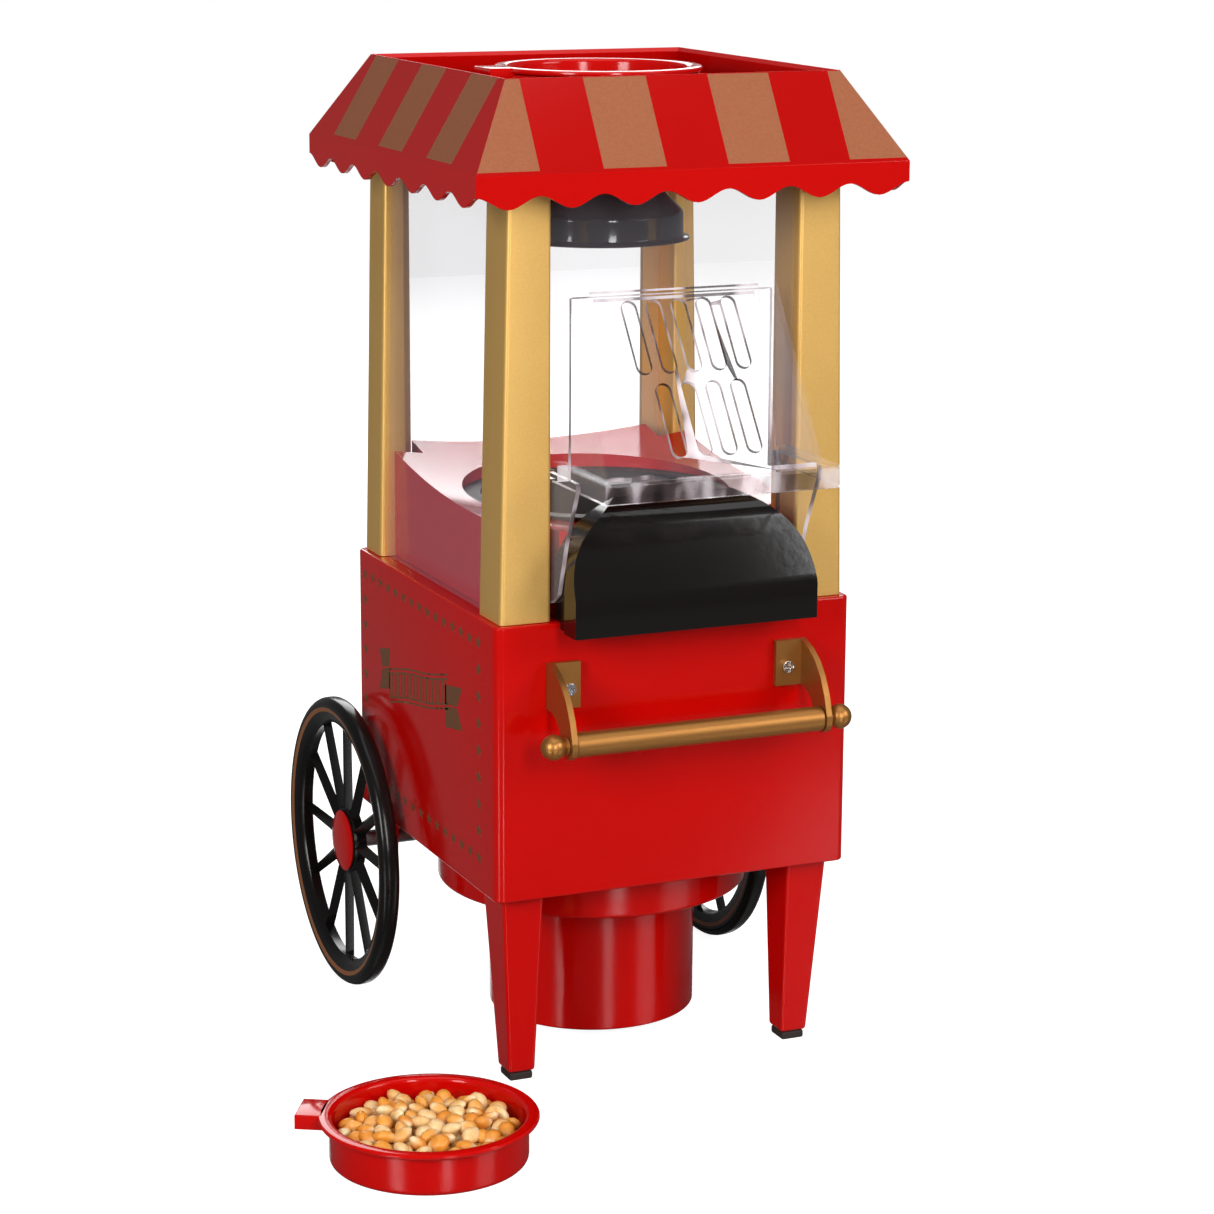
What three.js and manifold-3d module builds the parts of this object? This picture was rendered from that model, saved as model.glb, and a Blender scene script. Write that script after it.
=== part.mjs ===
// Table-top hot-air popcorn maker shaped like an old street cart.
// Millimetres, +Z up, the front faces -Y. Pieces are drawn about the cabinet's upright
// axis with the floor at z = 0; the last lines centre the assembly on its footprint.

import * as THREE from "three";
import { mergeVertices } from "three/addons/utils/BufferGeometryUtils.js";
import Module from "manifold-3d";

const wasm = await Module();
wasm.setup();

// ---- driving dimensions ----

const gap = 0.3; // between pieces that touch
const wall = 2.2; // moulded plastic
const clearSheet = 1.8; // clear panels
const overrun = 1; // how far a cutter runs past the face it opens
const sides = { large: 28, medium: 20, small: 12 }; // of round pieces, by their size

const roof = {
  topZ: 420, creaseZ: 384.3, cuspZ: 376, lobeZ: 371, lobes: 7,
  halfX: 94.7, halfY: 101.3, topHalfX: 73.5, topHalfY: 78.6,
  rim: 2.4, wellZ: 410.5, floor: 2, seatHalfX: 71, seatHalfY: 78,
};
const feed = { holeR: 12, collarR: 42.8, cupR: 40.5, collarZ: 416, seatZ: 396.5 };
const cup = { bodyR: 39.75, rimR: 44, height: 19, wall: 1.5, floor: 1.7, tabR: 52.5, tabWidth: 18 };
const cabinet = { topZ: 375.4, frameZ: 378.6, outerX: 77.5, outerTopX: 73.63, outerY: 82, corner: 2 };
const post = { frontX: 55, frontY: 57.5, rearX: 64.3, rearY: 62, flangeX: 56.5, flangeY: 79.1 };
const cart = { halfX: 80.4, halfY: 84.7, bottomZ: 83.75, topZ: 200.5, corner: 4 };
const deck = { halfX: 70.5, frontY: -79, rearY: 76.5, rearZ: 251, mouthR: 53, mouthZ: 234.5 };
const bowl = { lowZ: 232.8, centreY: -35, spread: 950 }; // z = lowZ + distance^2 / spread
const ramp = { halfX: 54.2, frontY: -105.5, backY: -79.5, bottomZ: 198, noseZ: 213.5, wall: 2, cheekX: 52.4 };
const visor = {
  halfX: 54.6, backY: -77.6, apexX: 46.3, apexZ: 335.7, footX: 47.7, footY: -120.5,
  lipX: 52.5, lipY: -131, lipLowZ: 257.5, lipTopZ: 266, wingZ: 208,
};
const panel = {
  topY: -79, topZ: 334.3, lowY: -129.2, topHalfX: 37.5, lowHalfX: 24.4, draft: 0.3,
  slotHalf: 3.2, slotLength: 33, slotPitch: 11, upperSlots: 4.8, lowerSlots: 42.6,
};
const base = { y: 4, upperR: 68.4, stepZ: 62.5, lowerR: 45.6, bottomZ: 4 };
const leg = { topZ: cart.bottomZ - gap, footZ: 3.8 };
const wheel = { radius: 65.85, y: 79.9, outerX: 95.3, width: 9, rimR: 54.2, spokes: 12, boreR: 4.4 };
const axle = { radius: 4, halfLength: 88.5 };
const grip = { y: -107.2, z: 155, radius: 5.2, innerX: 55.7, neckR: 3, knobX: 64.5, knobR: 5.3 };
const screwAt = { x: 49.7, z: 173.4, headR: 2.75, shankR: 1.5 };
const chamber = { radius: 41.5, bottomZ: 163, wall: 1.2 };
const fan = { radius: 38, bottomZ: 102, topZ: 114, blades: 9, shaftR: 2 };
const rocker = { x: 30, z: 122, halfX: 9.5, halfZ: 6.5 };
const glandAt = { x: -30, z: 104, radius: 6.5, holeR: 3.2 };
const looseCup = { x: -129.4, y: -135.4, tabAngle: 150 };

// ---- shape helpers ----

function solid(geometry) {
  const bare = geometry.clone();
  bare.deleteAttribute("normal");
  bare.deleteAttribute("uv");
  const merged = mergeVertices(bare, 1e-3);
  const corners = [];
  for (let i = 0; i < merged.index.count; i += 3) {
    const [a, b, c] = [0, 1, 2].map((k) => merged.index.getX(i + k));
    if (a !== b && b !== c && c !== a) corners.push(a, b, c);
  }
  return new wasm.Manifold(new wasm.Mesh({
    numProp: 3,
    vertProperties: Float32Array.from(merged.attributes.position.array),
    triVerts: Uint32Array.from(corners),
  }));
}

function geometryOf(body) {
  const { vertProperties, triVerts } = body.getMesh();
  const geometry = new THREE.BufferGeometry();
  geometry.setAttribute("position", new THREE.BufferAttribute(vertProperties, 3));
  geometry.setIndex(new THREE.BufferAttribute(triVerts, 1));
  geometry.computeVertexNormals();
  return geometry;
}

const join = (...bodies) => bodies.reduce((sum, body) => sum.add(body));
const cut = (body, ...tools) => tools.reduce((rest, tool) => rest.subtract(tool), body);

// Moves each vertex of a geometry by a rule that takes and returns x, y, z.
function bend(geometry, rule) {
  const place = geometry.attributes.position;
  for (let i = 0; i < place.count; i += 1) {
    place.setXYZ(i, ...rule(place.getX(i), place.getY(i), place.getZ(i)));
  }
  return geometry;
}

function boxShape([x0, x1], [y0, y1], [z0, z1]) {
  const geometry = new THREE.BoxGeometry(x1 - x0, y1 - y0, z1 - z0);
  return geometry.translate((x0 + x1) / 2, (y0 + y1) / 2, (z0 + z1) / 2);
}

const box = (x, y, z) => solid(boxShape(x, y, z));

// A block whose rectangle changes from its low face to its high face.
function taper(low, high, [z0, z1]) {
  const share = (range, t) => range[0] + (range[1] - range[0]) * t;
  return solid(bend(new THREE.BoxGeometry(1, 1, 1), (x, y, z) => {
    const face = z < 0 ? low : high;
    return [share(face.x, x + 0.5), share(face.y, y + 0.5), z < 0 ? z0 : z1];
  }));
}

const around = (halfX, halfY) => ({ x: [-halfX, halfX], y: [-halfY, halfY] });

function outline(points) {
  return new THREE.Shape(points.map(([u, v]) => new THREE.Vector2(u, v)));
}

function roundRect([x0, x1], [y0, y1], corner) {
  const shape = new THREE.Shape();
  const arcs = [[x1, y1, 0], [x0, y1, 90], [x0, y0, 180], [x1, y0, 270]];
  for (const [x, y, start] of arcs) {
    const turn = THREE.MathUtils.degToRad(start);
    const cx = x + (x === x0 ? corner : -corner);
    const cy = y + (y === y0 ? corner : -corner);
    shape.absarc(cx, cy, corner, turn, turn + Math.PI / 2, false);
  }
  return shape;
}

// Outlines pushed out of their plane: in XY along Z, in YZ along X, in XZ along Y.
function extrudeShape(shape, [from, to], curveSegments) {
  const settings = { depth: to - from, bevelEnabled: false, curveSegments };
  return new THREE.ExtrudeGeometry(shape, settings).translate(0, 0, from);
}

const alongZ = (shape, range, curveSegments = 3) => solid(extrudeShape(shape, range, curveSegments));

function alongX(shape, range, curveSegments = 3) {
  return solid(bend(extrudeShape(shape, range, curveSegments), (u, v, w) => [w, u, v]));
}

function alongY(shape, [y0, y1], curveSegments = 3) {
  return solid(bend(extrudeShape(shape, [-y1, -y0], curveSegments), (u, v, w) => [u, -w, v]));
}

// A closed profile of [radius, height] points turned about an upright axis.
function turned(points, count = sides.medium, x = 0, y = 0) {
  const closed = [...points, points[0]];
  const area = points.reduce((sum, [r, h], i) => sum + r * closed[i + 1][1] - closed[i + 1][0] * h, 0);
  const loop = area < 0 ? closed.reverse() : closed;
  const profile = loop.map(([r, h]) => new THREE.Vector2(r, h));
  return solid(new THREE.LatheGeometry(profile, count).rotateX(Math.PI / 2).translate(x, y, 0));
}

// The same, turned about an axis that runs along X.
function turnedX(points, count, y, z) {
  const body = geometryOf(turned(points, count));
  return solid(bend(body, (u, v, w) => [w, u + y, v + z]));
}

const disc = (r, low, high) => [[0, low], [r, low], [r, high], [0, high]];
const ring = (inner, outer, low, high) => [[inner, low], [outer, low], [outer, high], [inner, high]];
const mirrored = (body) => solid(bend(flipped(geometryOf(body)), (x, y, z) => [-x, y, z]));

function flipped(geometry) {
  const index = geometry.index.array;
  for (let i = 0; i < index.length; i += 3) {
    [index[i], index[i + 1]] = [index[i + 1], index[i]];
  }
  return geometry;
}

function turnedAbout(body, degrees, [x, y, z], axis = "Z") {
  const geometry = geometryOf(body).translate(-x, -y, -z);
  geometry[`rotate${axis}`](THREE.MathUtils.degToRad(degrees));
  return solid(geometry.translate(x, y, z));
}

// ---- materials ----

function finish(colour, roughness, metalness = 0, opacity = 1) {
  const transparent = opacity < 1;
  return new THREE.MeshStandardMaterial({ color: colour, roughness, metalness, opacity, transparent });
}

const finishes = {
  red: finish(0xc30f06, 0.18),
  gold: finish(0xdcb46e, 0.4, 0.85),
  black: finish(0x0b0b0b, 0.15),
  clear: finish(0xf0ecf6, 0.05, 0, 0.3),
  rubber: finish(0x2a1c18, 0.8),
  chrome: finish(0xd8d8d8, 0.15, 1),
  aluminium: finish(0xa8a8a4, 0.4, 0.9),
  steel: finish(0x8c8c8c, 0.35, 0.9),
  mica: finish(0xb8a88a, 0.8),
  board: finish(0x2f6a3a, 0.6),
  corn: finish(0xe59a1c, 0.45),
};

const assembly = new THREE.Group();

function place(name, body, material) {
  const mesh = new THREE.Mesh(geometryOf(body), material);
  mesh.name = name;
  assembly.add(mesh);
}

// A piece and its mirror image, drawn on the right.
function placePair(name, body, material) {
  place(`${name}_right`, body, material);
  place(`${name}_left`, mirrored(body), material);
}

// ---- lower body, base and legs ----

function cartBody() {
  const inside = wall;
  const shape = roundRect([-cart.halfX, cart.halfX], [-cart.halfY, cart.halfY], cart.corner);
  const hollow = box(
    [-cart.halfX + inside, cart.halfX - inside], [-cart.halfY + inside, cart.halfY - inside],
    [cart.bottomZ + inside, cart.topZ - inside],
  );
  const topHole = box([-62, 62], [-56, 58], [cart.topZ - 2 * wall, cart.topZ + overrun]);
  const bottomHole = turned(disc(62, cart.bottomZ - overrun, cart.bottomZ + 2 * wall), sides.large, 0, base.y);
  const screwHole = rodY(screwAt.shankR + 0.4, [-cart.halfY - overrun, -cart.halfY + 2 * wall], screwAt);
  const switchHole = box(
    [rocker.x - rocker.halfX, rocker.x + rocker.halfX], [cart.halfY - 2 * wall, cart.halfY + overrun],
    [rocker.z - rocker.halfZ, rocker.z + rocker.halfZ],
  );
  const glandHole = rodY(glandAt.radius - 1.5, [cart.halfY - 2 * wall, cart.halfY + overrun], glandAt);
  const tools = [hollow, topHole, bottomHole, screwHole, mirrored(screwHole), switchHole, glandHole];
  return cut(alongZ(shape, [cart.bottomZ, cart.topZ]), ...tools);
}

// A round bar along Y whose axis passes through a place's x and z.
function rodY(radius, [y0, y1], { x, z }) {
  const body = geometryOf(turned(disc(radius, y0, y1), sides.small));
  return solid(bend(body, (u, v, w) => [v + x, w, u + z]));
}

function baseCover() {
  const top = cart.bottomZ - gap;
  return turned([
    [base.upperR, top], [base.upperR - wall, top], [base.upperR - wall, base.stepZ + wall],
    [base.lowerR - wall, base.stepZ + wall], [base.lowerR - wall, base.bottomZ],
    [base.lowerR, base.bottomZ], [base.lowerR, base.stepZ], [base.upperR, base.stepZ],
  ], sides.large, 0, base.y);
}

const plateZ = [base.bottomZ + 1.2, base.bottomZ + 3.6];
const plateR = base.lowerR - wall - gap;
const basePlateScrews = [90, 210, 330];
const basePlateScrewR = plateR - 5;

function basePlate() {
  let plate = turned(disc(plateR, ...plateZ), sides.large, 0, base.y);
  const slot = box([12, 30], [base.y - 1.6, base.y + 1.6], [plateZ[0] - overrun, plateZ[1] + overrun]);
  for (let turn = 0; turn < 360; turn += 45) {
    plate = cut(plate, turnedAbout(slot, turn, [0, base.y, 0]));
  }
  for (const turn of basePlateScrews) {
    plate = cut(plate, baseScrewShape(turn, screwAt.shankR + 0.4, [0, 20]));
  }
  return plate;
}

// A screw under the base plate: its shank, on a circle about the base's axis.
function baseScrewShape(turn, radius, [z0, z1]) {
  const angle = THREE.MathUtils.degToRad(turn);
  const x = basePlateScrewR * Math.cos(angle);
  const y = base.y + basePlateScrewR * Math.sin(angle);
  return turned(disc(radius, z0, z1), sides.small, x, y);
}

function baseScrew(turn) {
  const shank = baseScrewShape(turn, screwAt.shankR, [plateZ[0] - 1.5, plateZ[1] + 8]);
  const head = baseScrewShape(turn, screwAt.headR, [plateZ[0] - 1.9, plateZ[0] - gap]);
  return join(shank, head);
}

function legBody() {
  const low = { x: [58, 70], y: [-72, -59] };
  const high = { x: [56.5, 75], y: [-78, -55] };
  return taper(low, high, [leg.footZ, leg.topZ]);
}

place("cart_body", cartBody(), finishes.red);
place("base_cover", baseCover(), finishes.red);
place("base_plate", basePlate(), finishes.black);
basePlateScrews.forEach((turn, i) => place(`base_screw_${i + 1}`, baseScrew(turn), finishes.chrome));
placePair("front_leg", legBody(), finishes.red);
placePair("rubber_foot", box([58.8, 69.2], [-71.2, -59.8], [0, leg.footZ - gap]), finishes.rubber);

// ---- wheels and axle ----

const rimX = [wheel.outerX - wheel.width, wheel.outerX];

function wheelBody() {
  const round = 2.2;
  const rim = turnedX([
    [wheel.rimR, rimX[0] + round], [wheel.rimR + round, rimX[0]], [wheel.radius - round, rimX[0]],
    [wheel.radius, rimX[0] + round], [wheel.radius, rimX[1] - round], [wheel.radius - round, rimX[1]],
    [wheel.rimR + round, rimX[1]], [wheel.rimR, rimX[1] - round],
  ], 36, wheel.y, wheel.radius);
  const hub = turnedX(ring(wheel.boreR, 15, 84.6, 90), sides.medium, wheel.y, wheel.radius);
  const boss = turnedX(ring(wheel.boreR, 8.5, 82.2, 85), sides.medium, wheel.y, wheel.radius);
  let whole = join(rim, hub, boss);
  const spoke = alongX(outline([[12, -3.4], [12, 3.4], [58, 2.2], [58, -2.2]]), [88.2, 91.6]);
  for (let i = 0; i < wheel.spokes; i += 1) {
    const turn = turnedAbout(spoke, (i * 360) / wheel.spokes, [0, 0, 0], "X");
    whole = join(whole, solid(geometryOf(turn).translate(0, wheel.y, wheel.radius)));
  }
  const capSeat = turnedX(disc(14.2, 90, 100), sides.medium, wheel.y, wheel.radius);
  return cut(whole, capSeat);
}

const hubCap = turnedX([[0, 90.3], [13.75, 90.3], [13.75, 91], [9, 92.1], [0, 92.6]], sides.medium, wheel.y, wheel.radius);
const axleRod = turnedX(disc(axle.radius, -axle.halfLength, axle.halfLength), sides.medium, wheel.y, wheel.radius);

function axleBracket() {
  const depth = 8;
  const bottom = wheel.radius - 7.5;
  const top = cart.bottomZ - gap;
  const [y0, y1] = [wheel.y - depth + 1.2, cart.halfY - 1];
  const cheek = alongX(outline([[y0, top], [y0 + 1, bottom], [y1 - 1, bottom], [y1, top]]), [66, 72]);
  const bore = turnedX(disc(wheel.boreR, 60, 80), sides.medium, wheel.y, wheel.radius);
  return cut(cheek, bore);
}

placePair("wheel", wheelBody(), finishes.black);
placePair("hub_cap", hubCap, finishes.red);
place("axle", axleRod, finishes.steel);
placePair("axle_bracket", axleBracket(), finishes.red);

// ---- handle ----

const gripAxis = (points) => turnedX(points, sides.small, grip.y, grip.z);
const handleBar = gripAxis([
  [0, -61.2], [grip.neckR, -61.2], [grip.neckR, -grip.innerX], [grip.radius, -grip.innerX],
  [grip.radius, grip.innerX], [grip.neckR, grip.innerX], [grip.neckR, 61.2], [0, 61.2],
]);

function handleKnob() {
  const ball = new THREE.SphereGeometry(grip.knobR, sides.small, 8);
  const whole = solid(ball.translate(grip.knobX, grip.y, grip.z));
  const collar = gripAxis(disc(4, 58.9, 62));
  const socket = gripAxis(disc(grip.neckR + gap, 50, 61.5));
  return cut(join(whole, collar), socket);
}

function handleBracket() {
  const face = -cart.halfY - gap;
  const plate = box([44.5, 58.5], [face - 2.8, face], [165.2, 184.6]);
  const blade = new THREE.Shape();
  blade.moveTo(face, 165.2);
  blade.lineTo(face, 184.6);
  blade.lineTo(face - 3, 184.6);
  blade.quadraticCurveTo(-107, 180, grip.y - 5.6, grip.z + 2);
  blade.absarc(grip.y, grip.z, 5.9, THREE.MathUtils.degToRad(160), THREE.MathUtils.degToRad(350), false);
  blade.quadraticCurveTo(-98, 164.9, face - 2.8, 165.2);
  const bore = gripAxis(disc(grip.neckR + gap, 50, 62));
  const hole = rodY(screwAt.shankR + 0.4, [face - 4, face + overrun], screwAt);
  return cut(join(plate, alongX(blade, [56, 58.5], 5)), bore, hole);
}

function handleScrew() {
  const face = -cart.halfY - 2 * gap - 2.8;
  const head = rodY(screwAt.headR, [face - 1.6, face], screwAt);
  const shank = rodY(screwAt.shankR, [face - 0.5, -cart.halfY + 6], screwAt);
  const slotX = box([47.7, 51.7], [face - 3, face - 0.9], [173, 173.8]);
  const slotZ = box([49.3, 50.1], [face - 3, face - 0.9], [171.4, 175.4]);
  return cut(join(head, shank), slotX, slotZ);
}

place("handle_bar", handleBar, finishes.gold);
placePair("handle_knob", handleKnob(), finishes.gold);
placePair("handle_bracket", handleBracket(), finishes.gold);
placePair("handle_screw", handleScrew(), finishes.chrome);

// ---- cabinet: posts, windows, top frame ----

const cabinetFootZ = cart.topZ + gap;
const cabinetHeight = cabinet.topZ - cabinetFootZ;
const lean = (cabinet.outerX - cabinet.outerTopX) / cabinetHeight;

// A post drawn on the right: its inner side is upright and its outer side leans in.
function postBody(innerX, [y0, y1]) {
  const shape = roundRect([innerX, cabinet.outerX], [y0, y1], cabinet.corner);
  const geometry = extrudeShape(shape, [cabinetFootZ, cabinet.topZ], 3);
  const width = cabinet.outerX - innerX;
  return solid(bend(geometry, (x, y, z) => {
    const shrink = 1 - (lean * (z - cabinetFootZ)) / width;
    return [innerX + (x - innerX) * shrink, y, z];
  }));
}

function sideWindow() {
  const y = [-post.frontY + gap, post.rearY - gap];
  const geometry = boxShape([72.4, 72.4 + clearSheet], y, [cabinetFootZ, cabinet.topZ - gap]);
  return solid(bend(geometry, (x, v, z) => [x - lean * (z - cabinetFootZ), v, z]));
}

function topFrame() {
  const z = [cabinet.topZ + gap, cabinet.frameZ];
  const outer = box([-75, 75], [-82, 82], z);
  return cut(outer, box([-64, 64], [-72, 72], [z[0] - overrun, z[1] + overrun]));
}

const rearWindowX = post.rearX - gap;
placePair("front_post", postBody(post.frontX, [-cabinet.outerY, -post.frontY]), finishes.gold);
const rearFlange = box(
  [post.flangeX, post.rearX + 3], [post.flangeY, cabinet.outerY], [cabinetFootZ, cabinet.topZ],
);
const rearPost = join(postBody(post.rearX, [post.rearY, cabinet.outerY]), rearFlange);
placePair("rear_post", rearPost, finishes.gold);
placePair("side_window", sideWindow(), finishes.clear);
place("rear_window", box(
  [-rearWindowX, rearWindowX], [77, 77 + clearSheet], [cabinetFootZ, cabinet.topZ - gap],
), finishes.clear);
place("cabinet_top_frame", topFrame(), finishes.red);

// ---- deck, ramp and visor ----

// The dish in the deck: a shallow bowl that is lowest in front of the chamber's mouth.
function dish(drop) {
  const radii = [0, 55, 80, 105, 130, 150];
  const rise = radii.map((r) => [r, bowl.lowZ - drop + (r * r) / bowl.spread]);
  return turned([...rise, [150, 300], [0, 300]], sides.large, 0, bowl.centreY);
}

function deckBlock(inset, [z0, z1]) {
  const rearY = deck.rearY - inset;
  const frontY = deck.frontY + inset;
  const middle = box([-deck.halfX + inset, deck.halfX - inset], [-57 + inset, 61.5 - inset], [z0, z1]);
  const front = box([-50.3 + inset, 50.3 - inset], [frontY, 0], [z0, z1]);
  const rear = box([-57 + inset, 57 - inset], [0, rearY], [z0, z1]);
  return join(middle, front, rear);
}

function hopperDeck() {
  const outer = cut(deckBlock(0, [cabinetFootZ, deck.rearZ]), dish(0));
  const inner = cut(deckBlock(wall, [cabinetFootZ - overrun, deck.rearZ]), dish(wall));
  const mouthSeat = turned(disc(58.3, deck.mouthZ - 0.2, 300), sides.large);
  const mouth = turned(disc(deck.mouthR, 190, 300), sides.large);
  const seatRing = turned(ring(deck.mouthR, 60.5, deck.mouthZ - 2.4, deck.mouthZ + 1.2), sides.large);
  return cut(join(cut(outer, inner), cut(seatRing, dish(0))), mouthSeat, mouth);
}

// The hood in front, drawn as its side outline cut to an arched front outline.
function rampBlock(inset) {
  const { halfX, frontY, backY, noseZ, bottomZ } = ramp;
  const floorZ = bottomZ - (inset ? overrun : 0);
  const side = alongX(outline([
    [frontY + inset, floorZ], [frontY + inset, noseZ], [-93 + inset * 0.8, 241 - inset * 0.7],
    [-89.5 + inset * 0.5, 246 - inset], [backY - inset, 250 - inset], [backY - inset, floorZ],
  ]), [-halfX + inset, halfX - inset]);
  const shoulder = [[halfX, 216], [53.6, 224], [51.6, 229.5], [46.5, 237.4], [37.5, 244.3], [24, 251]];
  const arch = [[halfX, floorZ], ...shoulder].map(([x, z]) => [x - inset, z > 220 ? z - inset * 0.6 : z]);
  const mirror = arch.map(([x, z]) => [-x, z]).reverse();
  return side.intersect(alongY(outline([...arch, ...mirror]), [-120, -70]));
}

function popcornRamp() {
  const bodyRelief = box([-60, 60], [-cart.halfY - gap, -70], [190, cabinetFootZ]);
  const cheek = box([ramp.cheekX, 60], [-93.6, -70], [190, 260]);
  const innerX = ramp.cheekX - ramp.wall;
  const hollow = rampBlock(ramp.wall).intersect(box([-innerX, innerX], [-120, -60], [180, 260]));
  return cut(rampBlock(0), hollow, bodyRelief, cheek, mirrored(cheek));
}

// A wedge drawn as its side outline, whose half width changes with the place on the outline.
function wedge(points, halfAt) {
  const geometry = bend(extrudeShape(outline(points), [-1, 1], 1), (u, v, w) => [w, u, v]);
  return solid(bend(geometry, (x, y, z) => [x * halfAt(y, z), y, z]));
}

function visorHood(inset) {
  const { apexX, apexZ, footX, footY, lipTopZ, backY } = visor;
  const deep = inset ? 6 : 0;
  const topZ = apexZ - inset * 1.9;
  const lowY = footY + inset * 1.17;
  return wedge([
    [backY + deep, topZ], [backY + deep, lipTopZ - deep], [lowY, lipTopZ - deep], [lowY, lipTopZ],
    [backY, topZ],
  ], (y, z) => apexX + (footX - apexX) * (apexZ - z) / (apexZ - lipTopZ) - inset);
}

// The slotted panel stands proud of the hood's slope, by more towards its foot.
function visorPanel(inset) {
  const { topY, topZ, lowY, topHalfX, lowHalfX, draft } = panel;
  const { lipTopZ } = visor;
  const deep = inset ? 6 : 0;
  const lowZ = lipTopZ - deep;
  const frontY = lowY + inset * 1.24;
  return wedge([
    [topY, topZ - inset * 1.68], [topY, lowZ], [frontY, lowZ], [frontY, lipTopZ],
  ], (y, z) => {
    const share = (topZ - z) / (topZ - lipTopZ);
    const faceY = topY + (lowY - topY) * share;
    return topHalfX + (lowHalfX - topHalfX) * share + Math.max(0, y - faceY) * draft - inset;
  });
}

function visorSlots() {
  const { topY, topZ, lowY, slotHalf, slotLength, slotPitch } = panel;
  const run = Math.hypot(lowY - topY, visor.lipTopZ - topZ);
  const [downY, downZ] = [(lowY - topY) / run, (visor.lipTopZ - topZ) / run];
  const slot = (x, along) => {
    const shape = roundRect([x - slotHalf, x + slotHalf], [-along - slotLength, -along], slotHalf - 0.01);
    return solid(bend(extrudeShape(shape, [-8, 8], 2), (u, v, w) => [
      u, topY - v * downY + w * downZ, topZ - v * downZ - w * downY,
    ]));
  };
  const upper = [-2, -1, 0, 1, 2].map((i) => slot(i * slotPitch, panel.upperSlots));
  const lower = [-1.5, -0.5, 0.5, 1.5].map((i) => slot(i * slotPitch, panel.lowerSlots));
  return [...upper, ...lower];
}

function frontVisor() {
  const { halfX, backY, apexX, apexZ, lipX, lipY, lipLowZ, lipTopZ, wingZ } = visor;
  const sheet = [backY, backY + clearSheet];
  const pane = cut(
    box([-halfX, halfX], sheet, [lipLowZ, cabinet.topZ - gap]),
    box([-apexX + 1.5, apexX - 1.5], [backY - 5, backY + 5], [lipLowZ - overrun, apexZ - 4]),
  );
  const lip = cut(
    box([-lipX, lipX], [lipY, backY + 1], [lipLowZ, lipTopZ]),
    box([-lipX + clearSheet, lipX - clearSheet], [lipY + clearSheet, backY + 5], [240, 280]),
  );
  const wing = alongX(outline([
    [-106, lipLowZ + 0.6], [-95, 235.5], [-87.5, 213], [-80, wingZ], [-68, wingZ], [-68, 262], [-106, 262],
  ]), [halfX - clearSheet, halfX]);
  const web = box([lipX - 1.7, halfX - 0.5], [-106, -68], [lipLowZ + 1, 262]);
  const side = join(wing, web);
  const shelf = box([-lipX, lipX], [lipY, backY + 1], [lipTopZ - clearSheet, lipTopZ]);
  const outer = join(visorHood(0), visorPanel(0), shelf);
  const shell = cut(outer, visorHood(clearSheet), visorPanel(clearSheet));
  return cut(join(pane, lip, side, mirrored(side), shell), ...visorSlots());
}

place("hopper_deck", hopperDeck(), finishes.red);
place("popcorn_ramp", popcornRamp(), finishes.black);
place("front_visor", frontVisor(), finishes.clear);

// ---- roof ----

// The scalloped edge of one side: a row of round lobes hanging from a straight band.
function valance(half) {
  const pitch = (2 * half) / roof.lobes;
  const depth = roof.cuspZ - roof.lobeZ;
  const shape = new THREE.Shape();
  shape.moveTo(half, roof.creaseZ);
  shape.lineTo(-half, roof.creaseZ);
  shape.lineTo(-half, roof.cuspZ);
  for (let i = 0; i < roof.lobes; i += 1) {
    const start = -half + i * pitch;
    const [near, far] = [start + pitch * 0.16, start + pitch * 0.84];
    shape.bezierCurveTo(near, roof.lobeZ - depth * 0.34, far, roof.lobeZ - depth * 0.34, start + pitch, roof.cuspZ);
  }
  return shape;
}

function canopy() {
  const { halfX, halfY, topHalfX, topHalfY, creaseZ, cuspZ, topZ, wellZ, floor, rim } = roof;
  const slope = (half, topHalf, z) => half + ((topHalf - half) * (z - creaseZ)) / (topZ - creaseZ);
  const section = (z, inset) => around(slope(halfX, topHalfX, z) - inset, slope(halfY, topHalfY, z) - inset);
  const hull = join(taper(section(creaseZ, 0), section(topZ, 0), [creaseZ, topZ]),
    box([-halfX, halfX], [-halfY, halfY], [cuspZ + 1, creaseZ]));
  const cavity = join(
    taper(section(creaseZ, rim), section(wellZ - floor, rim), [creaseZ, wellZ - floor]),
    box([-halfX + rim, halfX - rim], [-halfY + rim, halfY - rim], [cuspZ, creaseZ]),
  );
  const well = taper(section(wellZ, rim), section(topZ, rim), [wellZ, topZ]);
  const wellMouth = box(section(topZ, rim).x, section(topZ, rim).y, [topZ - 0.5, topZ + overrun]);
  const shell = cut(hull, cavity, well, wellMouth, turned(disc(feed.collarR - 0.5, 400, 430), sides.large));
  const front = alongY(valance(halfX), [-halfY, -halfY + rim], 4);
  const rear = alongY(valance(halfX), [halfY - rim, halfY], 4);
  const right = alongX(valance(halfY), [halfX - rim, halfX], 4);
  const cupSeat = turned([
    [feed.holeR, feed.seatZ], [feed.collarR, feed.seatZ], [feed.collarR, feed.collarZ],
    [feed.cupR, feed.collarZ], [feed.cupR, feed.seatZ + floor], [feed.holeR, feed.seatZ + floor],
  ], sides.large);
  const seatZ = [cabinet.frameZ + gap, wellZ - floor / 2];
  const seat = cut(
    box([-roof.seatHalfX, roof.seatHalfX], [-roof.seatHalfY, roof.seatHalfY], seatZ),
    box([-roof.seatHalfX + wall, roof.seatHalfX - wall], [-roof.seatHalfY + wall, roof.seatHalfY - wall],
      [seatZ[0] - overrun, wellZ - floor]),
    turned(disc(feed.collarR - 0.5, 300, 430), sides.large),
  );
  return join(shell, front, rear, right, mirrored(right), cupSeat, seat);
}

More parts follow.
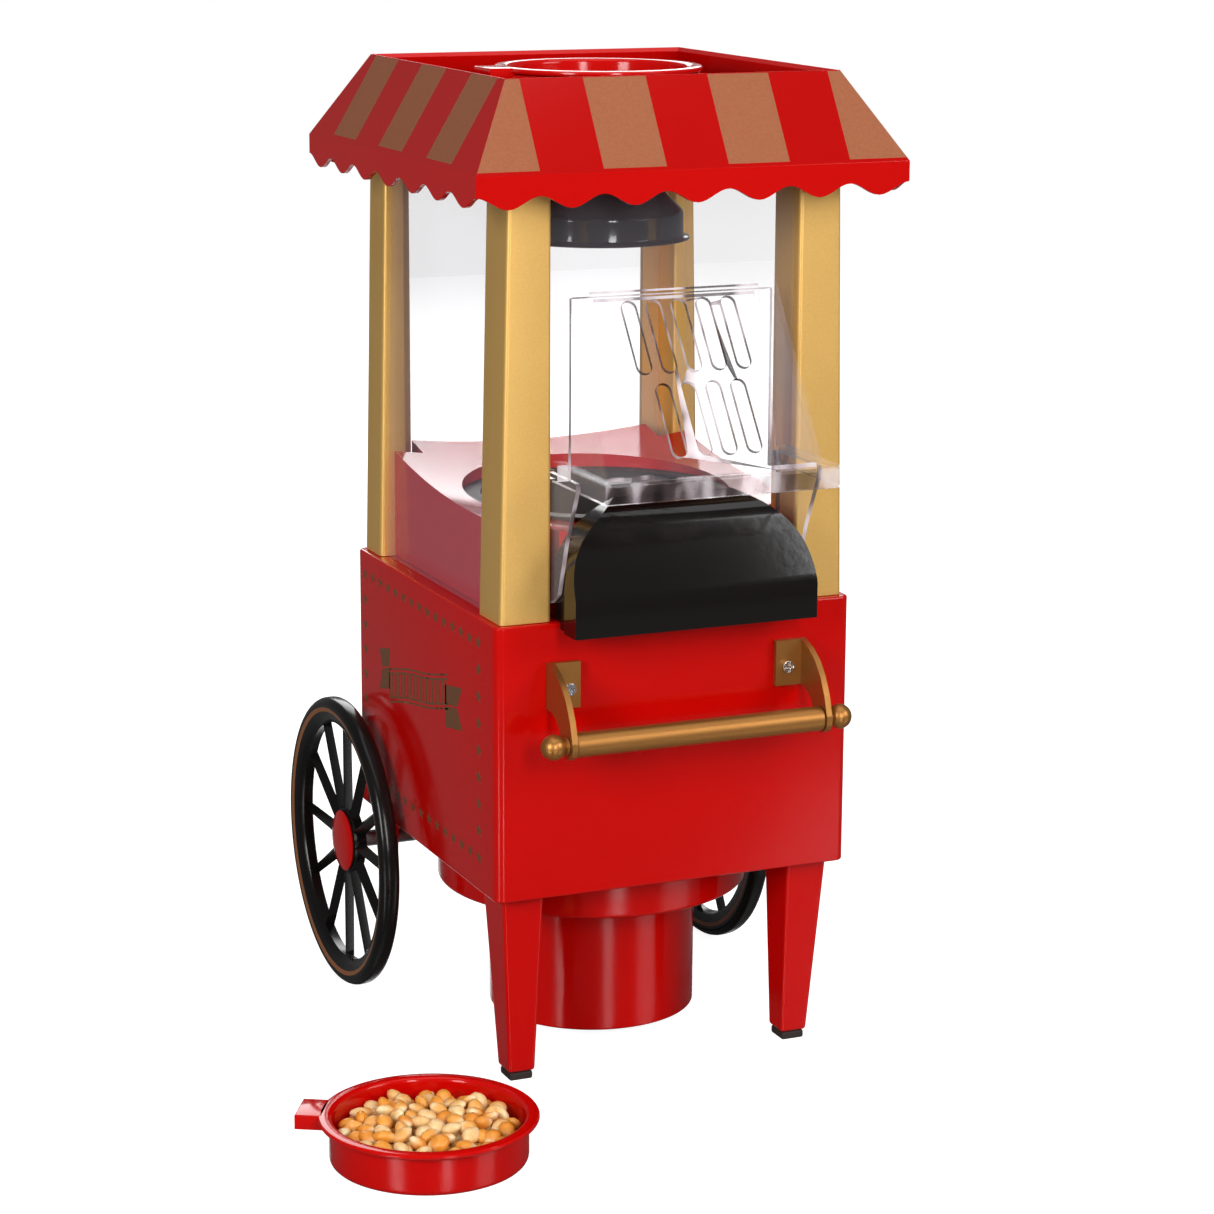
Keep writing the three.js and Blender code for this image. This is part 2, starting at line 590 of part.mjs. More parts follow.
const dome = turned([
  [39, 346], [39, 346.8], [36.6, 348.2], [36.4, 358], [35, 360.5], [17, 379], [15, 382],
  [15, feed.seatZ - gap], [feed.holeR + 0.5, feed.seatZ - gap], [feed.holeR + 0.5, 381], [33.8, 358.8],
  [34.8, 357], [35, 347.2], [37.2, 346],
], 24);

// A shallow measuring cup with a channelled tab for a finger, the same in the roof and on the table.
function measuringCup(x, y, z, tabAngle) {
  const { bodyR, rimR, height, tabR, tabWidth } = cup;
  const innerR = bodyR - cup.wall;
  const shell = turned([
    [0, z], [bodyR - 1.2, z], [bodyR, z + 1.2], [bodyR, z + height - 2.6], [rimR, z + height - 1.3],
    [rimR, z + height], [bodyR + 0.6, z + height], [innerR, z + height - 2.4], [innerR, z + cup.floor + 1],
    [innerR - 1, z + cup.floor], [0, z + cup.floor],
  ], sides.large, x, y);
  const half = tabWidth / 2;
  const tab = cut(
    box([x + rimR - 3, x + tabR], [y - half, y + half], [z + height - 5, z + height]),
    box([x, x + tabR - 1.5], [y - half + 1.5, y + half - 1.5], [z, z + height - 1.5]),
    turned(disc(rimR - 0.8, z - overrun, z + height + overrun), sides.large, x, y),
  );
  return join(shell, turnedAbout(tab, tabAngle, [x, y, 0]));
}

place("roof_canopy", canopy(), finishes.red);
place("deflector_dome", dome, finishes.black);
place("lid_cup", measuringCup(0, 0, feed.seatZ + roof.floor + gap + 1, 180), finishes.red);

// ---- hot-air unit inside ----

function poppingChamber() {
  const { radius, bottomZ, wall: sheet } = chamber;
  const lipZ = deck.mouthZ + 0.2;
  const shell = turned([
    [0, bottomZ], [radius - 6, bottomZ], [radius, bottomZ + 6], [radius, 214], [51.5, lipZ - 1.5],
    [51.5, lipZ], [57.8, lipZ], [57.8, lipZ + sheet], [50.4, lipZ + sheet], [50.4, lipZ - 1.2],
    [radius - sheet, 214.4], [radius - sheet, bottomZ + 6.5], [radius - 6.5, bottomZ + sheet],
    [0, bottomZ + sheet],
  ], 24);
  const louvre = box([30, 50], [-1.2, 1.2], [bottomZ + 9, bottomZ + 19]);
  let whole = shell;
  for (let turn = 0; turn < 360; turn += 45) {
    whole = cut(whole, turnedAbout(louvre, turn, [0, 0, 0]));
  }
  return whole;
}

function heaterFrame() {
  const leaf = box([-32, 32], [-0.6, 0.6], [124, 158]);
  return join(leaf, turnedAbout(leaf, 90, [0, 0, 0]));
}

function heaterCoil() {
  const turns = 2;
  const steps = 16 * turns;
  const points = [];
  for (let i = 0; i <= steps; i += 1) {
    const angle = (i / 16) * 2 * Math.PI;
    points.push(new THREE.Vector3(35.5 * Math.cos(angle), 35.5 * Math.sin(angle), 128 + (i * 24) / steps));
  }
  const section = new THREE.Shape().absarc(0, 0, 1.6, 0, 2 * Math.PI, false);
  const path = new THREE.CatmullRomCurve3(points);
  const settings = { extrudePath: path, steps, bevelEnabled: false, curveSegments: 5 };
  return solid(new THREE.ExtrudeGeometry(section, settings));
}

function fanImpeller() {
  const { radius, bottomZ, topZ, shaftR } = fan;
  const hub = turned(ring(shaftR + gap, 6, bottomZ, topZ), sides.small);
  const plate = turned(ring(shaftR + gap, radius, bottomZ, bottomZ + 1.5), 24);
  let whole = join(hub, plate);
  const blade = box([14, radius - 0.5], [-0.6, 0.6], [bottomZ + 1, topZ]);
  for (let i = 0; i < fan.blades; i += 1) {
    whole = join(whole, turnedAbout(blade, (i * 360) / fan.blades, [0, 0, 0]));
  }
  return whole;
}

function motorBracket() {
  const plate = turned(ring(9, 52, 94.6, 96.6), 24);
  let whole = plate;
  const window = box([22, 40], [-7, 7], [90, 100]);
  for (const turn of [45, 135, 225, 315]) {
    whole = cut(whole, turnedAbout(window, turn, [0, 0, 0]));
  }
  return join(whole, box([-74, -50], [-6, 6], [94.6, 96.6]), box([50, 74], [-6, 6], [94.6, 96.6]));
}

const switchFaceY = cart.halfY + gap;

function switchHousing() {
  const { x, z, halfX, halfZ } = rocker;
  const bezel = box([x - halfX - 1.5, x + halfX + 1.5], [switchFaceY, switchFaceY + 1.5],
    [z - halfZ - 1.5, z + halfZ + 1.5]);
  const barrel = box([x - halfX + gap, x + halfX - gap], [cart.halfY - 16, switchFaceY + 1],
    [z - halfZ + gap, z + halfZ - gap]);
  const pocket = box([x - halfX + 1.8, x + halfX - 1.8], [cart.halfY - 8, switchFaceY + 5],
    [z - halfZ + 1.3, z + halfZ - 1.3]);
  return cut(join(bezel, barrel), pocket);
}

// The rocker turns about an upright axis, so its wide face dips at one end.
const rockerPivotY = switchFaceY - 2.5;

function switchRocker() {
  const { x, z, halfX, halfZ } = rocker;
  const reach = halfX - 2.4;
  const shape = outline([
    [x - reach, rockerPivotY - 1], [x + reach, rockerPivotY - 1], [x + reach, rockerPivotY + 4.4],
    [x, rockerPivotY + 3], [x - reach, rockerPivotY + 4.4],
  ]);
  const level = alongZ(shape, [z - halfZ + 1.6, z + halfZ - 1.6]);
  return turnedAbout(level, 8, [x, rockerPivotY, 0]);
}

function cordGland() {
  const flange = rodY(glandAt.radius, [switchFaceY, switchFaceY + 2.5], glandAt);
  const barrel = rodY(glandAt.radius - 2, [cart.halfY - 8, switchFaceY + 1], glandAt);
  const hole = rodY(glandAt.holeR, [cart.halfY - 10, switchFaceY + 5], glandAt);
  return cut(join(flange, barrel), hole);
}

place("popping_chamber", poppingChamber(), finishes.aluminium);
place("chamber_collar", turned(ring(chamber.radius + gap, 49, 196.3, 199.5), 24), finishes.steel);
place("air_duct", turned(ring(44.5, 46.5, 97, 196), 24), finishes.black);
place("heater_frame", heaterFrame(), finishes.mica);
place("heater_coil", heaterCoil(), finishes.steel);
place("thermostat", box([10, 18], [-19, -11], [145, 157]), finishes.chrome);
place("fan_impeller", fanImpeller(), finishes.black);
place("motor_shaft", turned(disc(fan.shaftR, 92.3, 117), sides.small), finishes.steel);
place("motor", turned([[0, 55], [13, 55], [14, 57], [14, 92], [0, 92]]), finishes.steel);
place("motor_bracket", motorBracket(), finishes.steel);
place("rectifier_board", box([-11, 11], [-11, 11], [51.5, 53.1]), finishes.board);
place("switch_housing", switchHousing(), finishes.black);
place("switch_rocker", switchRocker(), finishes.black);
place("cord_gland", cordGland(), finishes.black);

// ---- loose measuring cup with its helping of corn ----

const heap = [[0, 2], [36.8, 2], [37.6, 3.2], [37.6, 8.5], [24, 11.6], [0, 12.5]];
place("measuring_cup", measuringCup(looseCup.x, looseCup.y, 0, looseCup.tabAngle), finishes.red);
place("kernel_heap", turned(heap, 24, looseCup.x, looseCup.y), finishes.corn);

// The origin is the bottom centre of the box that holds the whole assembly.
const extent = new THREE.Box3().setFromObject(assembly);
const middle = extent.getCenter(new THREE.Vector3());
assembly.position.set(-middle.x, -middle.y, -extent.min.z);

export default assembly;
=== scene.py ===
import math
import random

import bmesh
import bpy
from mathutils import Matrix, Vector
from mathutils.geometry import interpolate_bezier


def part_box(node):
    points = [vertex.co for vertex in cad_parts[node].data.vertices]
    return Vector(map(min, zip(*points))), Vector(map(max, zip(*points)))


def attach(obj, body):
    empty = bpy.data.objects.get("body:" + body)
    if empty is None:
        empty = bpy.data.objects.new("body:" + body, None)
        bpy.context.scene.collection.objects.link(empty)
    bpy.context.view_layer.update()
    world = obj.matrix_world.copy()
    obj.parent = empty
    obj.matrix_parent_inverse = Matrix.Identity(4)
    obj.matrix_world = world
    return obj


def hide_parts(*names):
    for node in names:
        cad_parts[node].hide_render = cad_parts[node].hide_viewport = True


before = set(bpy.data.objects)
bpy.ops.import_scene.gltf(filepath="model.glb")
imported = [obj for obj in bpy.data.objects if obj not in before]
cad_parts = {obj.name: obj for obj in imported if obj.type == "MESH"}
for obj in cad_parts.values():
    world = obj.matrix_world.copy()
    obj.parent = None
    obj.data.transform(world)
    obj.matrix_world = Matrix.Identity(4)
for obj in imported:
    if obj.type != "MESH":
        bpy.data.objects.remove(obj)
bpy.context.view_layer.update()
scene = bpy.context.scene

# Pieces are drawn in millimetres about the cart's upright axis, then moved into the frame.
mm = 0.001
cartLow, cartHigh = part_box("cart_body")
axisPoint = Vector(((cartLow.x + cartHigh.x) / 2, (cartLow.y + cartHigh.y) / 2, 0))
toFrame = Matrix.Translation(axisPoint) @ Matrix.Scale(mm, 4)


def span(node):
    low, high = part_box(node)
    return (low - axisPoint) / mm, (high - axisPoint) / mm


# ---------- materials ----------

class Wire:
    def __init__(self, graph, socket):
        self.graph = graph
        self.socket = socket

    def __add__(self, other):
        return self.graph.maths("ADD", self, other)

    def __sub__(self, other):
        return self.graph.maths("SUBTRACT", self, other)

    def __rsub__(self, other):
        return self.graph.maths("SUBTRACT", other, self)

    def __mul__(self, other):
        return self.graph.maths("MULTIPLY", self, other)

    def __truediv__(self, other):
        return self.graph.maths("DIVIDE", self, other)

    def __lt__(self, other):
        return self.graph.maths("LESS_THAN", self, other)

    def __gt__(self, other):
        return self.graph.maths("GREATER_THAN", self, other)

    __radd__ = __add__
    __rmul__ = __mul__


class Graph:
    def __init__(self, name="", tree=None, shader="Principled BSDF"):
        self.material = None if tree else bpy.data.materials.new(name)
        if self.material:
            self.material.use_nodes = True
        self.tree = tree or self.material.node_tree
        self.shader = self.tree.nodes[shader]

    def node(self, kind, settings=None, output=0, **sockets):
        made = self.tree.nodes.new(kind)
        for key, value in (settings or {}).items():
            if key == "stops":
                self.setStops(made.color_ramp, value)
            else:
                setattr(made, key, value)
        for key, value in sockets.items():
            slot = int(key[1:]) if key[1:].isdigit() else key.replace("_", " ")
            self.feed(made.inputs[slot], value)
        return Wire(self, made.outputs[output])

    def setStops(self, ramp, stops):
        while len(ramp.elements) < len(stops):
            ramp.elements.new(0.5)
        for element, (position, colour) in zip(ramp.elements, stops):
            element.position = position
            element.color = (*colour, 1)

    def feed(self, socket, value):
        if isinstance(value, Wire):
            self.tree.links.new(value.socket, socket)
        else:
            socket.default_value = value

    def maths(self, operation, first, second):
        return self.node("ShaderNodeMath", {"operation": operation}, i0=first, i1=second)

    def mix(self, share, first, second):
        return self.node("ShaderNodeMix", {"data_type": "RGBA"}, 2, i0=share, i6=first, i7=second)

    def place(self, centre=(0, 0, 0), scale=(1, 1, 1)):
        coordinates = self.node("ShaderNodeTexCoord", output=3)
        return self.node("ShaderNodeMapping", {"vector_type": "TEXTURE"}, Vector=coordinates,
                         Location=centre, Scale=scale)

    def parts(self, vector):
        split = self.node("ShaderNodeSeparateXYZ", Vector=vector)
        outputs = split.socket.node.outputs
        return [Wire(self, outputs[i]) for i in range(3)]

    def noise(self, vector, scale, detail=3.0, roughness=0.5):
        return self.node("ShaderNodeTexNoise", Vector=vector, Scale=scale, Detail=detail,
                         Roughness=roughness)

    def bump(self, height, strength, distance):
        return self.node("ShaderNodeBump", Height=height, Strength=strength, Distance=distance)

    def shade(self, **sockets):
        for key, value in sockets.items():
            self.feed(self.shader.inputs[key.replace("_", " ")], value)
        return self.material


def paint(red, green, blue):
    def linear(value):
        share = value / 255
        return share / 12.92 if share <= 0.04045 else ((share + 0.055) / 1.055) ** 2.4
    return (linear(red), linear(green), linear(blue))


def rgba(colour):
    return (*colour, 1)


def glossyPlastic(name, dark, light, roughness, ripple=0.02, sheen=0.4):
    graph = Graph(name)
    spot = graph.place()
    cloud = graph.noise(spot, 9.0)
    fine = graph.noise(spot, 260.0, 2.0)
    colour = graph.mix(cloud, rgba(dark), rgba(light))
    gloss = cloud * 0.05 + (roughness - 0.025)
    relief = graph.bump(fine + cloud * 4, ripple, 0.0006)
    return graph.shade(Base_Color=colour, Roughness=gloss, Normal=relief, IOR=1.5,
                       Specular_IOR_Level=sheen)


def goldPaint(name, dark, light, metallic):
    graph = Graph(name)
    spot = graph.place()
    grain = graph.noise(spot, 2200.0, 2.0, 0.7)
    cloud = graph.noise(spot, 14.0)
    colour = graph.mix(grain * 0.7 + cloud * 0.3, rgba(dark), rgba(light))
    relief = graph.bump(grain, 0.12, 0.0002)
    return graph.shade(Base_Color=colour, Metallic=metallic, Roughness=grain * 0.2 + 0.3, Normal=relief)


def clearPlastic(name, tint, low, high):
    graph = Graph(name)
    spot = graph.place()
    # Alpha rises steeply where the surface turns away from view, so the pale tint shows as a painted sheen along
    # edges and bevels.
    facing = graph.node("ShaderNodeLayerWeight", output=1, Blend=0.5)
    edge = facing * facing * facing
    cloud = graph.noise(spot, 30.0, 2.0)
    relief = graph.bump(cloud, 0.05, 0.001)
    return graph.shade(Base_Color=rgba(tint), Roughness=cloud * 0.04 + 0.02, Normal=relief, IOR=1.58,
                       Alpha=edge * (high - low) + low, Specular_IOR_Level=0.9)


# Clear plastic streaked from near-black to white by noise: painted highlights and painted dark reflections, not the
# plastic's own colour.
def paintedReflectionStreaks(name, low, spread, scale):
    graph = Graph(name)
    cloud = graph.noise(graph.place(scale=(1, 1, 2.5)), scale, 2.0, 0.6)
    # the dark and white stops are painted reflection and painted highlight
    band = graph.node("ShaderNodeValToRGB", {"stops": [
        (0.36, paint(34, 28, 28)), (0.47, paint(92, 78, 80)), (0.55, paint(214, 200, 206)),
        (0.66, paint(250, 246, 248))]}, Fac=cloud)
    relief = graph.bump(cloud, 0.2, 0.001)
    return graph.shade(Base_Color=band, Roughness=cloud * 0.1 + 0.05, Alpha=(1 - cloud) * spread + low,
                       Normal=relief, IOR=1.58)


def bareMetal(name, colour, roughness, lineScale):
    graph = Graph(name)
    spot = graph.place(scale=(1, 1, 0.02))
    lines = graph.noise(spot, lineScale, 2.0)
    dull = tuple(0.8 * c for c in colour)
    relief = graph.bump(lines, 0.1, 0.0003)
    return graph.shade(Base_Color=graph.mix(lines, rgba(dull), rgba(colour)), Metallic=1.0,
                       Roughness=lines * 0.15 + roughness, Normal=relief)


def mattePlain(name, dark, light, roughness, scale=90.0):
    graph = Graph(name)
    spot = graph.place()
    speck = graph.noise(spot, scale, 4.0)
    relief = graph.bump(speck, 0.25, 0.0005)
    return graph.shade(Base_Color=graph.mix(speck, rgba(dark), rgba(light)), Roughness=roughness,
                       Normal=relief)


red = glossyPlastic("glossyRed", paint(182, 4, 2), paint(194, 8, 4), 0.12, 0.02, 0.26)
black = glossyPlastic("glossyBlack", paint(9, 7, 6), paint(18, 14, 12), 0.11, 0.03, 0.45)
gold = goldPaint("satinGold", paint(222, 164, 80), paint(252, 212, 128), 0.62)
darkGold = goldPaint("darkGold", paint(150, 98, 46), paint(188, 134, 72), 0.85)
clear = clearPlastic("clearPlastic", paint(236, 230, 242), 0.03, 0.26)
# painted glints for the visor's thin edges and painted dark reflections for its lip band
clearEdgePaintedGlints = paintedReflectionStreaks("clearEdgePaintedGlints", 0.72, 0.25, 46.0)
clearLipPaintedReflections = paintedReflectionStreaks("clearLipPaintedReflections", 0.22, 0.3, 70.0)
clearWindow = clearPlastic("clearWindow", paint(196, 190, 210), 0.07, 0.12)
chrome = bareMetal("chromePlate", paint(225, 225, 228), 0.08, 60.0)
aluminium = bareMetal("spunAluminium", paint(150, 150, 146), 0.3, 300.0)
chamberMetal = bareMetal("chamberMetal", paint(56, 53, 50), 0.5, 300.0)
steel = bareMetal("plainSteel", paint(150, 150, 152), 0.25, 200.0)
rubber = mattePlain("brownRubber", paint(30, 20, 16), paint(48, 34, 29), 0.75)
mica = mattePlain("micaSheet", paint(150, 132, 100), paint(190, 172, 138), 0.6)
boardGreen = mattePlain("boardGreen", paint(26, 82, 42), paint(44, 112, 60), 0.45)
print("materials made")


# ---------- making meshes ----------

def block(bm, low, high):
    low, high = Vector(low), Vector(high)
    corners = bmesh.ops.create_cube(bm, size=1)["verts"]
    bmesh.ops.scale(bm, vec=high - low, verts=corners)
    bmesh.ops.translate(bm, vec=(low + high) / 2, verts=corners)
    return corners


def prism(bm, corners, push):
    ring = [bm.verts.new(Vector(corner)) for corner in corners]
    grown = bmesh.ops.extrude_face_region(bm, geom=[bm.faces.new(ring)])["geom"]
    moved = [part for part in grown if isinstance(part, bmesh.types.BMVert)]
    bmesh.ops.translate(bm, vec=Vector(push), verts=moved)
    return ring + moved


def turned(bm, profile, centre, axis="Z", steps=72, closed=False):
    along = {"X": Vector((1, 0, 0)), "Y": Vector((0, 1, 0)), "Z": Vector((0, 0, 1))}[axis]
    outward = Vector((0, 0, 1)) if axis == "X" else Vector((1, 0, 0))
    centre = Vector(centre)
    chain = [bm.verts.new(centre + outward * r + along * h) for r, h in profile]
    pairs = list(zip(chain, chain[1:])) + ([(chain[-1], chain[0])] if closed else [])
    edges = [bm.edges.new(pair) for pair in pairs]
    bmesh.ops.spin(bm, geom=chain + edges, cent=centre, axis=along, angle=2 * math.pi,
                   steps=steps, use_merge=True)


def arc(centreR, centreH, radius, start, end, steps=5):
    angles = [math.radians(start + (end - start) * i / steps) for i in range(steps + 1)]
    return [(centreR + radius * math.cos(a), centreH + radius * math.sin(a)) for a in angles]


def fromNode(node):
    bm = bmesh.new()
    bm.from_mesh(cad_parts[node].data)
    bmesh.ops.transform(bm, matrix=toFrame.inverted(), verts=bm.verts)
    bmesh.ops.remove_doubles(bm, verts=bm.verts, dist=0.005)
    bmesh.ops.dissolve_limit(bm, angle_limit=math.radians(1), verts=bm.verts, edges=bm.edges)
    return bm


def meshOf(bm, name):
    mesh = bpy.data.meshes.new(name)
    bm.to_mesh(mesh)
    bm.free()
    return mesh


def combined(first, second, operation):
    pair = [bpy.data.objects.new("working", meshOf(bm, "working")) for bm in (first, second)]
    for piece in pair:
        scene.collection.objects.link(piece)
    modifier = pair[0].modifiers.new("combine", "BOOLEAN")
    modifier.operation = operation
    modifier.solver = "EXACT"
    modifier.object = pair[1]
    bpy.context.view_layer.update()
    ready = pair[0].evaluated_get(bpy.context.evaluated_depsgraph_get())
    result = bmesh.new()
    result.from_mesh(ready.to_mesh())
    for piece in pair:
        mesh = piece.data
        bpy.data.objects.remove(piece)
        bpy.data.meshes.remove(mesh)
    return result


def addPiece(name, bm, materials, body, replaced=(), bevel=0, segments=3, outward=True,
             smoothAngle=32):
    bmesh.ops.remove_doubles(bm, verts=bm.verts, dist=0.002)
    if outward:
        bmesh.ops.recalc_face_normals(bm, faces=bm.faces)
    bmesh.ops.transform(bm, matrix=toFrame, verts=bm.verts)
    mesh = meshOf(bm, name)
    for material in materials if isinstance(materials, list) else [materials]:
        mesh.materials.append(material)
    mesh.shade_smooth()
    mesh.set_sharp_from_angle(angle=math.radians(smoothAngle))
    piece = bpy.data.objects.new(name, mesh)
    scene.collection.objects.link(piece)
    if bevel:
        rounding = piece.modifiers.new("rounding", "BEVEL")
        rounding.width = bevel * mm
        rounding.segments = segments
        rounding.limit_method = "ANGLE"
        rounding.angle_limit = math.radians(30)
        rounding.harden_normals = True
    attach(piece, body)
    if replaced:
        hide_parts(*([replaced] if isinstance(replaced, str) else replaced))
    return piece


def dress(node, material):
    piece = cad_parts[node]
    piece.data.materials.clear()
    piece.data.materials.append(material)


def roundedBlock(low, high, cornerRadius, edgeRadius):
    bm = bmesh.new()
    block(bm, low, high)
    upright = [e for e in bm.edges if abs(e.verts[0].co.z - e.verts[1].co.z) > 1]
    bmesh.ops.bevel(bm, geom=upright, offset=cornerRadius, affect="EDGES", segments=8, profile=0.5,
                    material=-1)
    flat = [f for f in bm.faces if abs(f.normal.z) > 0.9]
    rims = [e for f in flat for e in f.edges]
    if edgeRadius:
        bmesh.ops.bevel(bm, geom=rims, offset=edgeRadius, affect="EDGES", segments=4, profile=0.5,
                        material=-1)
    return bm


# ---------- camera and studio ----------

cameraPlace = {"point": (-556.9, -1295.2, 513.2), "turn": -23.46, "dip": 13.13, "roll": 0.29,
               "lens": 98.27}


def makeCamera(place):
    data = bpy.data.cameras.new("camera")
    data.lens = place["lens"]
    data.sensor_width = 36
    data.clip_end = 50
    camera = bpy.data.objects.new("camera", data)
    scene.collection.objects.link(camera)
    turn = Matrix.Rotation(math.radians(place["turn"]), 4, "Z")
    tilt = Matrix.Rotation(math.radians(90 - place["dip"]), 4, "X")
    roll = Matrix.Rotation(math.radians(place["roll"]), 4, "Z")
    camera.matrix_world = Matrix.Translation(toFrame @ Vector(place["point"])) @ turn @ tilt @ roll
    scene.camera = camera


studio = {"backdrop": 1.0, "surroundings": 0.16, "floorShade": 0.45, "floorGlow": 0.92, "floorSize": 2.4}
lamps = [  # name, place in metres from the cart, size, watts
    ("frontBox", (-0.12, -1.9, 0.8), (0.3, 0.9), 16),
    ("leftBox", (-1.5, -1.0, 0.8), (0.4, 0.9), 20),
    ("rightBox", (1.35, -1.45, 1.1), (0.8, 1.0), 17),
    ("topBox", (0.1, -0.2, 2.2), (2.0, 2.0), 19),
    ("rearBox", (0.6, 1.9, 1.2), (1.2, 1.1), 20),
]


def floorPaint():
    graph = Graph("paleFloor")
    seen = graph.node("ShaderNodeLightPath")
    shade = studio["floorShade"]
    plain = graph.mix(graph.noise(graph.place(), 3.0), rgba((shade - 0.01,) * 3), rgba((shade + 0.01,) * 3))
    return graph.shade(Base_Color=graph.mix(seen, rgba((0.3,) * 3), plain), Metallic=(1 - seen) * 0.6,
                       Roughness=seen * 0.6 + 0.25, Emission_Strength=studio["floorGlow"],
                       Emission_Color=graph.mix(seen, rgba((0,) * 3), rgba((1,) * 3)))


def makeStudio():
    world = bpy.data.worlds.new("world")
    world.use_nodes = True
    graph = Graph(tree=world.node_tree, shader="Background")
    seen = graph.node("ShaderNodeLightPath")
    dim = studio["surroundings"]
    graph.shade(Color=(1, 1, 1, 1), Strength=seen * (studio["backdrop"] - dim) + dim)
    scene.world = world
    scene.view_settings.view_transform = "Standard"
    bm = bmesh.new()
    bmesh.ops.create_grid(bm, x_segments=1, y_segments=1, size=studio["floorSize"])
    floor = bpy.data.objects.new("floor", meshOf(bm, "floor"))
    floor.data.materials.append(floorPaint())
    scene.collection.objects.link(floor)
    target = axisPoint + Vector((0, 0, 0.2))
    for name, place, size, watts in lamps:
        data = bpy.data.lights.new(name, "AREA")
        data.shape = "RECTANGLE"
        data.size, data.size_y = size
        data.energy = watts
        lamp = bpy.data.objects.new(name, data)
        lamp.location = axisPoint + Vector(place)
        lamp.rotation_euler = (target - lamp.location).to_track_quat("-Z", "Y").to_euler()
        scene.collection.objects.link(lamp)


makeCamera(cameraPlace)
makeStudio()
print("camera and studio ready")


# ---------- cart body, base, legs ----------

cartStyle = {"corner": 4, "edge": 1.0, "legEdge": 1.4}


def makeCart():
    low, high = span("cart_body")
    bm = roundedBlock(low, high, cartStyle["corner"], cartStyle["edge"])
    addPiece("cartBody", bm, red, "root", "cart_body")

    baseLow, baseHigh = span("base_cover")
    centre = ((baseLow.x + baseHigh.x) / 2, (baseLow.y + baseHigh.y) / 2, 0)
    upperR = (baseHigh.x - baseLow.x) / 2
    plateLow, plateHigh = span("base_plate")
    lowerR = (plateHigh.x - plateLow.x) / 2 + 2.5
    stepZ = 62.5
    wall = 2.2
    profile = [(upperR, baseHigh.z)]
    profile += arc(upperR - 2, stepZ + 2, 2, 0, -90)
    profile += arc(lowerR + 1.5, stepZ - 1.5, 1.5, 90, 180)
    profile += arc(lowerR - 1.2, baseLow.z + 1.2, 1.2, 0, -90)
    profile += [(lowerR - wall, baseLow.z), (lowerR - wall, stepZ + wall), (upperR - wall, stepZ + wall),
                (upperR - wall, baseHigh.z)]
    bm = bmesh.new()
    turned(bm, profile, centre, steps=96, closed=True)
    addPiece("baseCover", bm, red, "root", "base_cover")

    for side in ("left", "right"):
        addPiece(f"frontLeg.{side}", fromNode(f"front_leg_{side}"), red, "root",
                 f"front_leg_{side}", bevel=cartStyle["legEdge"])
        addPiece(f"rubberFoot.{side}", fromNode(f"rubber_foot_{side}"), rubber, "root",
                 f"rubber_foot_{side}", bevel=0.9)
        addPiece(f"axleBracket.{side}", fromNode(f"axle_bracket_{side}"), red, "root",
                 f"axle_bracket_{side}", bevel=0.4)


makeCart()
print("cart body made")


# ---------- posts and windows ----------

postStyle = {"front": 55, "rear": 64.3, "corner": 2, "lean": 3.87, "stripX": 56.5, "stripY": 79.1}


def makeCabinet():
    for end in ("front", "rear"):
        for side in ("left", "right"):
            node = f"{end}_post_{side}"
            low, high = span(node)
            sign = -1 if side == "left" else 1
            outer = sign * max(abs(low.x), abs(high.x))
            inner = sign * postStyle[end]
            bm = roundedBlock((min(inner, outer), low.y, low.z), (max(inner, outer), high.y - 0.05, high.z),
                              postStyle["corner"], 0)
            shrink = 1 - postStyle["lean"] / abs(outer - inner)
            for vert in bm.verts:
                if vert.co.z > (low.z + high.z) / 2:
                    vert.co.x = inner + (vert.co.x - inner) * shrink
            if end == "rear":
                strip = sorted((sign * postStyle["stripX"], inner + sign * 6))
                block(bm, (strip[0], postStyle["stripY"], low.z), (strip[1], high.y, high.z))
            addPiece(f"{end}Post.{side}", bm, gold, "root", node)
    for side in ("left", "right"):
        node = f"side_window_{side}"
        addPiece(f"sideWindow.{side}", fromNode(node), clearWindow, "root", node, bevel=0.3)
    addPiece("rearWindow", fromNode("rear_window"), clearWindow, "root", "rear_window",
             bevel=0.3)
    bm = fromNode("front_visor")
    # The lip's front band (index 2) gets painted dark reflections; the plate's thin edges and bevels (index 1) get
    # painted glints.
    for face in bm.faces:
        middle = face.calc_center_median()
        if middle.y < -119 and 257 < middle.z < 266.5:
            face.material_index = 2
        elif 2 * face.calc_area() / face.calc_perimeter() < 2.4:  # the plate's own thin edges
            face.material_index = 1
    visor = addPiece("frontVisor", bm, [clear, clearEdgePaintedGlints, clearLipPaintedReflections], "visor",
                     "front_visor", bevel=0.5, segments=2)
    visor.modifiers["rounding"].material = 1


makeCabinet()
print("cabinet made")


# ---------- deck, ramp, chamber ----------

deckStyle = {"lowZ": 232.8, "centreY": -35, "spread": 950, "mouthR": 53}


